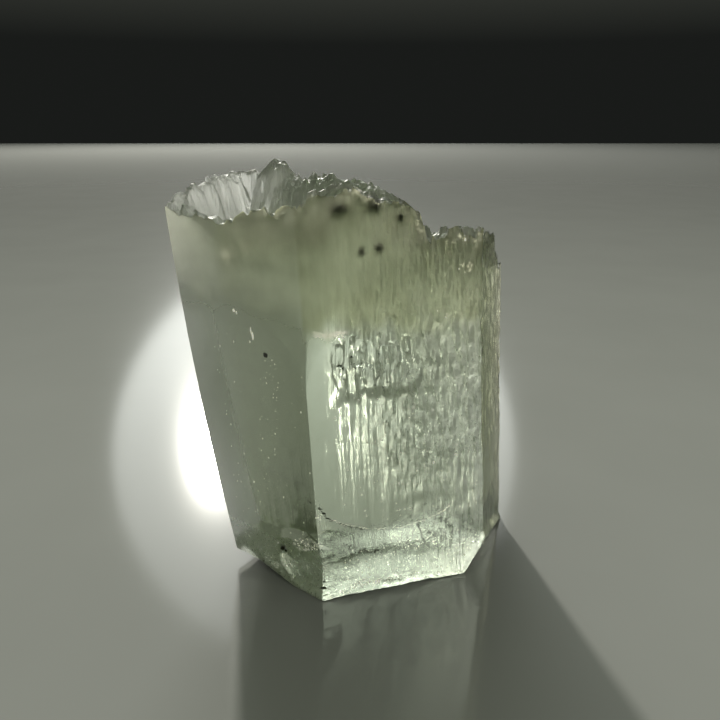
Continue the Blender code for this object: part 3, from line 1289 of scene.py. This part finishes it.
@dataclass
class Inclusions:
    """Lumpy grains of one kind that lie inside the crystal, as one piece."""

    name: str
    rows: Sequence[Array]
    finish: GrainyFinish | PaintedGlintFinish
    rings: int = 5
    spokes: int = 7
    lumpiness: float = 0.55
    margin: float = 0.3

    def ball(self) -> tuple[Array, Array]:
        """A unit ball: rings at even angles, even spokes round each, and a point at each pole.

        Returns:
            Points, and faces with the last place repeated in a triangle.
        """
        tilt = np.pi * np.arange(1, self.rings) / self.rings
        turn = 2 * np.pi * np.arange(self.spokes) / self.spokes
        tilt, turn = np.meshgrid(tilt, turn, indexing="ij")
        belt = np.stack(
            [np.sin(tilt) * np.cos(turn), np.sin(tilt) * np.sin(turn), -np.cos(tilt)], axis=-1
        )
        points = np.vstack([[[0, 0, -1.0]], belt.reshape(-1, 3), [[0, 0, 1.0]]])
        at = 1 + np.arange((self.rings - 1) * self.spokes).reshape(self.rings - 1, self.spokes)
        beside = np.roll(at, -1, axis=1)
        walls = np.stack([at[:-1], beside[:-1], beside[1:], at[1:]], axis=-1).reshape(-1, 4)
        pole = np.zeros(self.spokes, dtype=int)
        last = pole + len(points) - 1
        low = np.stack([beside[0], at[0], pole, pole], axis=-1)
        high = np.stack([at[-1], beside[-1], last, last], axis=-1)
        return points, np.vstack([low, walls, high])

    def build(self, skin: CrystalSkin) -> bpy.types.Object:
        """Makes every grain whose middle lies inside the skin.

        Formula: each point of the ball moves in or out by a scattered number, and the whole is
        multiplied by the grain's half sizes.

        Args:
            skin: The crystal's skin.

        Returns:
            The finished piece.
        """
        ball, faces = self.ball()
        number = np.arange(len(ball))
        rows = np.vstack(self.rows)
        middles = skin.prism.leaning(rows[:, :2], rows[:, 2])
        lumps, quads = [], []
        for middle, reach, salt in zip(middles, rows[:, 3:6], rows[:, 6]):
            if not skin.holds(skin.place(middle), self.margin * reach[1] * MM):
                continue
            bumps = 1 + self.lumpiness * (scatter(number, len(lumps), salt) - 0.5)
            for face in (faces + len(lumps) * len(ball)).tolist():
                quads.append(tuple(face[:3] if face[2] == face[3] else face))
            lumps.append(ball * bumps[:, None] * reach + middle)
        made = MeshPlan(skin.place(np.vstack(lumps)), quads).make(self.name, self.finish.make())
        made.data.shade_smooth()
        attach(made, BODY)
        log.info("%s: %d of %d grains lie inside", self.name, len(lumps), len(rows))
        return made


UP = (0.0, 0.0, 1.0)
CRACK: Line = (
    (-3.95, -6.80, 7.92), (-3.19, -7.30, 7.35), (-2.81, -7.05, 6.51), (-1.85, -6.74, 5.77),
    (-0.34, -6.27, 5.13), (1.55, -5.68, 4.80), (3.18, -5.16, 5.01), (4.52, -4.74, 5.54),
    (4.99, -4.59, 5.92),
)
SMUDGE: Line = ((-2.0, -6.92, 4.05), (-0.9, -6.58, 3.55), (0.2, -6.26, 3.15))
# Where glowing flakes lay a painted highlight bar.
PAINTED_HIGHLIGHT_BAR: Line = ((-2.5, -6.80, 18.69), (-0.7, -6.35, 18.62))
# Edges where glowing flakes lay painted glints.
EDGES: tuple[Line, ...] = (
    ((5.60, -4.46, 23.55), (6.30, -4.25, 23.75), (6.90, -4.06, 23.85), (7.60, -3.84, 23.25)),
    ((3.00, -5.22, 24.60), (4.10, -4.92, 23.75)),
    ((-0.20, -6.22, 26.35), (0.80, -5.98, 26.15), (1.90, -5.62, 25.60)),
    ((5.50, -4.50, 22.00), (6.10, -4.32, 21.80), (6.40, -4.22, 22.10)),
    ((4.60, -4.88, 18.85), (4.95, -4.76, 19.15)),
    ((-2.50, -7.08, 0.50), (-0.70, -6.55, 0.75)),
    ((-0.70, -6.55, 0.75), (1.60, -5.80, 0.80)),
    ((1.60, -5.80, 0.80), (4.60, -4.88, 0.55)),
)
# Glowing flakes strewn as painted sparkle inside the front faces.
PAINTED_SPARKLES = (
    PaintedSparkle(Facet.FRONT_RIGHT, (-4.0, 5.6), (0.6, 3.9), 0.32, 280, 0.030, 1100.0),
    PaintedSparkle(Facet.FRONT_RIGHT, (-3.8, -1.0), (5.5, 15.5), 0.36, 90, 0.034, 1900.0),
    PaintedSparkle(Facet.FRONT_RIGHT, (-1.0, 5.6), (5.0, 13.5), 0.40, 220, 0.040, 1300.0),
    PaintedSparkle(Facet.FRONT_RIGHT, (2.6, 5.6), (13.0, 24.0), 0.42, 150, 0.040, 1500.0),
    PaintedSparkle(Facet.FRONT_LEFT, (-5.0, 1.4), (0.4, 3.2), 0.25, 70, 0.030, 1700.0),
    PaintedSparkle(Facet.FRONT_LEFT, (-5.5, 3.5), (3.0, 18.0), 0.30, 200, 0.036, 2100.0),
)
LARGE_FLECKS = (
    (-0.74, -5.92, 25.40, 0.46, 0.28, 0.34, 1), (1.10, -5.32, 25.42, 0.44, 0.25, 0.24, 2),
    (0.31, -5.78, 23.12, 0.20, 0.15, 0.26, 3), (1.23, -5.48, 23.25, 0.23, 0.16, 0.26, 4),
    (2.46, -5.16, 24.79, 0.16, 0.12, 0.18, 5), (-5.36, -5.06, 16.97, 0.15, 0.10, 0.16, 6),
    (-3.55, -7.20, 0.90, 0.22, 0.12, 0.10, 7), (-3.45, -7.16, 1.44, 0.10, 0.10, 0.06, 8),
    (-6.10, -5.35, 0.88, 0.08, 0.06, 0.10, 9), (-6.12, -5.36, 2.88, 0.20, 0.10, 0.20, 10),
    (-5.94, -5.46, 2.72, 0.10, 0.06, 0.10, 11),
)
# Larger glowing flakes high in the left face: painted highlights.
LARGE_PAINTED_GLINTS = (
    (-7.06, -3.76, 19.32, 0.09, 0.06, 0.10, 1), (-6.88, -3.80, 19.22, 0.06, 0.05, 0.10, 2),
    (-6.09, -4.45, 18.30, 0.05, 0.05, 0.22, 3), (-6.00, -4.40, 17.95, 0.07, 0.05, 0.24, 4),
    (-7.09, -3.19, 22.52, 0.22, 0.05, 0.22, 5), (-5.81, -4.16, 23.12, 0.14, 0.05, 0.16, 6),
)


def dark_flecks() -> Inclusions:
    """The dark mineral flecks: large ones near the top rim and low at the front corner, a broken
    row along the left part of the healed crack, and short upright ones above the foot.

    Returns:
        The flecks, to be built.
    """
    row = Pattern(64, 300.0)
    row_at = row.along(CRACK[:5]) + np.outer(row.draw(0.03, -0.16, 13.0), UP)
    smudge = Pattern(34, 400.0)
    rise = smudge.draw(-0.20, 0.40, 22.0)
    smudge_at = smudge.along(SMUDGE) + (0.0, 0.25, 0.0) + np.outer(rise, UP)
    wide, tall = smudge.draw(0.015, 0.035, 14.0), smudge.draw(0.03, 0.12, 21.0)
    return Inclusions("dark_flecks", (
        np.array(LARGE_FLECKS),
        row.rows(row_at, row.draw(0.008, 0.026, 12.0, 2.0), (4.0, 1.0, 1.0)),
        smudge.rows(smudge_at, np.column_stack([wide, np.full(len(wide), 0.02), tall])),
    ), FLECK_MINERAL)


def edge_painted_glints(skin: CrystalSkin, edge: Line, place: int) -> Array:
    """Painted glints: glowing flakes along one edge, kept just under the top.

    Args:
        skin: The crystal's skin.
        edge: The edge's points.
        place: The edge's number, which picks its scatter.

    Returns:
        One row for each flake.
    """
    flakes, cover = Pattern(34, 800.0, place), 0.05
    size = flakes.draw(0.014, 0.055, 20.0, 3.0)
    x, y, z = flakes.along(edge).T
    y = y + flakes.draw(0.0, 0.15, 23.0)
    z = z + flakes.draw(-0.175, 0.35, 18.0) + flakes.draw(-0.175, 0.35, 19.0)
    z = np.minimum(z, skin.top.height(x, y) - size - cover)
    return flakes.rows(np.column_stack([x, y, z]), size, (1.0, 0.5, 1.5))


def painted_glint_flakes(skin: CrystalSkin) -> Inclusions:
    """The bright flakes, whose faint glow is painted glints and highlights: large ones high in the
    left face, a painted highlight bar under the right one's veil, a trail of fine ones down the
    left face, a tilted oval patch by the scar, painted sparkles inside the front faces, and the
    edges and the healed crack.

    Args:
        skin: The crystal's skin.

    Returns:
        The flakes, to be built.
    """
    bar = Pattern(110, 500.0)
    rise = bar.draw(-0.15, 0.30, 6.0) + bar.draw(-0.15, 0.30, 7.0)
    bar_at = bar.along(PAINTED_HIGHLIGHT_BAR) + np.outer(rise, UP)
    trail = Pattern(150, 10.0)
    down, aside = trail.draw(0.0, 1.0, 1.0), trail.draw(0.0, 1.0, 2.0)
    trail_at = np.array([-4.9, -5.1, 17.0]) + np.outer(down, (-2.1, 0.7, -12.0))
    trail_at = trail_at + np.outer((1.1 + 1.5 * down) * (aside - 0.5), (1.0, 0.0, 0.0))
    trail_at = trail_at + np.outer(aside, (0.0, 0.3, 0.0))
    patch = Pattern(190, 600.0)
    turn, out = patch.draw(0.0, 2 * math.pi, 15.0), patch.draw(0.0, 1.0, 16.0, 0.5)
    patch_at = np.array([-4.34, -6.39, 3.98]) + np.outer(out * np.cos(turn), (1.05, -0.80, 0.58))
    patch_at = patch_at + np.outer(out * np.sin(turn), (0.08, -0.03, 0.66))
    crack = Pattern(150, 200.0)
    crack_at = crack.along(CRACK[2:]) + np.outer(crack.draw(-0.06, 0.12, 4.0), UP)
    return Inclusions("flakes_with_painted_glints", (
        np.array(LARGE_PAINTED_GLINTS),
        bar.rows(bar_at, bar.draw(0.020, 0.050, 8.0, 3.0), (1.6, 0.5, 1.0)),
        trail.rows(trail_at, trail.draw(0.007, 0.024, 3.0, 6.0), (1.0, 1.0, 1.8)),
        patch.rows(patch_at, patch.draw(0.010, 0.022, 17.0, 3.0), (1.6, 0.5, 1.0)),
        *(sprinkle.rows(skin.prism) for sprinkle in PAINTED_SPARKLES),
        *(edge_painted_glints(skin, edge, place) for place, edge in enumerate(EDGES)),
        crack.rows(crack_at, crack.draw(0.006, 0.016, 5.0), (2.6, 1.0, 1.0)),
    ), PaintedGlintFinish())


# ---- studio ----


@dataclass(frozen=True)
class Lamp:
    """One round soft light: its heading from +X and height in degrees, its distance and diameter
    in millimetres, its power in watts and its colour."""

    name: str
    heading: float
    height: float
    far: float
    size: float
    power: float
    colour: Point

    def hang(self, aim: float) -> None:
        """Hangs the light.

        Args:
            aim: The height above the floor that it faces, in millimetres.
        """
        data = bpy.data.lights.new(self.name, "AREA")
        data.shape = "DISK"
        data.size = self.size * MM
        data.energy = self.power
        data.color = self.colour
        lamp = bpy.data.objects.new(self.name, data)
        rise = math.radians(self.height)
        way = np.array([*(outward(self.heading) * math.cos(rise)), math.sin(rise)])
        lamp.location = (way * self.far + [0, 0, aim]) * MM
        lamp.rotation_euler = (math.radians(90) - rise, 0.0, math.radians(self.heading + 90))
        lamp.visible_camera = False
        bpy.context.scene.collection.objects.link(lamp)


@dataclass(frozen=True)
class Studio:
    """The pale floor, the soft lights, the room's even glow and the camera."""

    eye: Point = (0.0368, -43.515, 29.0)
    look_down: float = 18.53
    lens: float = 35.0
    sensor: float = 36.0
    nearest: float = 1.0
    floor_reach: float = 1200.0
    floor_gap: float = 0.02
    aim: float = 8.0
    lamps: tuple[Lamp, ...] = (
        Lamp("key", 103.4, 24.5, 1200, 66, 7.0, (1.0, 0.975, 0.88)),
        Lamp("window", 94.0, 25.0, 1320, 780, 4.7, (0.97, 1.0, 0.96)),
    )
    glow: tuple[tuple[float, Colour], ...] = (
        (0.1, (0.010, 0.011, 0.010, 1.0)), (0.75, (0.22, 0.235, 0.19, 1.0)),
    )
    brightest_bounce: float = 24.0

    def camera(self) -> None:
        """Stands the camera close in front of the crystal, level with its top."""
        data = bpy.data.cameras.new("camera")
        data.lens = self.lens
        data.sensor_width = self.sensor
        data.clip_start = self.nearest * MM
        eye = bpy.data.objects.new("camera", data)
        eye.location = np.array(self.eye) * MM
        eye.rotation_euler = (math.radians(90 - self.look_down), 0.0, 0.0)
        bpy.context.scene.collection.objects.link(eye)
        bpy.context.scene.camera = eye

    def floor(self) -> None:
        """Lays the pale floor, a hair below the crystal."""
        corners = np.array([[-1, -1], [1, -1], [1, 1], [-1, 1]]) * self.floor_reach
        points = np.column_stack([corners, np.full(len(corners), -self.floor_gap)]) * MM
        MeshPlan(points, [(0, 1, 2, 3)]).make("floor", FLOOR_PAINT.make())

    def lights(self) -> None:
        """Hangs the lamps and sets the room's even glow, which grows with height."""
        for lamp in self.lamps:
            lamp.hang(self.aim)
        room = bpy.data.worlds.new("room")
        bench = Bench(room)
        height = bench.node("SeparateXYZ", out="Z", Vector=bench.node("TexCoord"))
        colour = bench.node("ValToRGB", {"stops": self.glow}, Fac=height)
        bench.node("OutputWorld", Surface=bench.node("Background", Color=colour, Strength=1.0))
        scene = bpy.context.scene
        scene.world = room
        scene.view_settings.view_transform = "Standard"
        scene.cycles.caustics_refractive = False
        scene.cycles.sample_clamp_indirect = self.brightest_bounce


def main() -> None:
    """Builds the crystal and its studio."""
    logging.basicConfig(level=logging.INFO, format="%(name)s: %(message)s")
    studio = Studio()
    studio.camera()
    studio.floor()
    studio.lights()
    skin = CrystalSkin()
    skin.build()
    dark_flecks().build(skin)
    painted_glint_flakes(skin).build(skin)


if __name__ == "__main__":
    main()
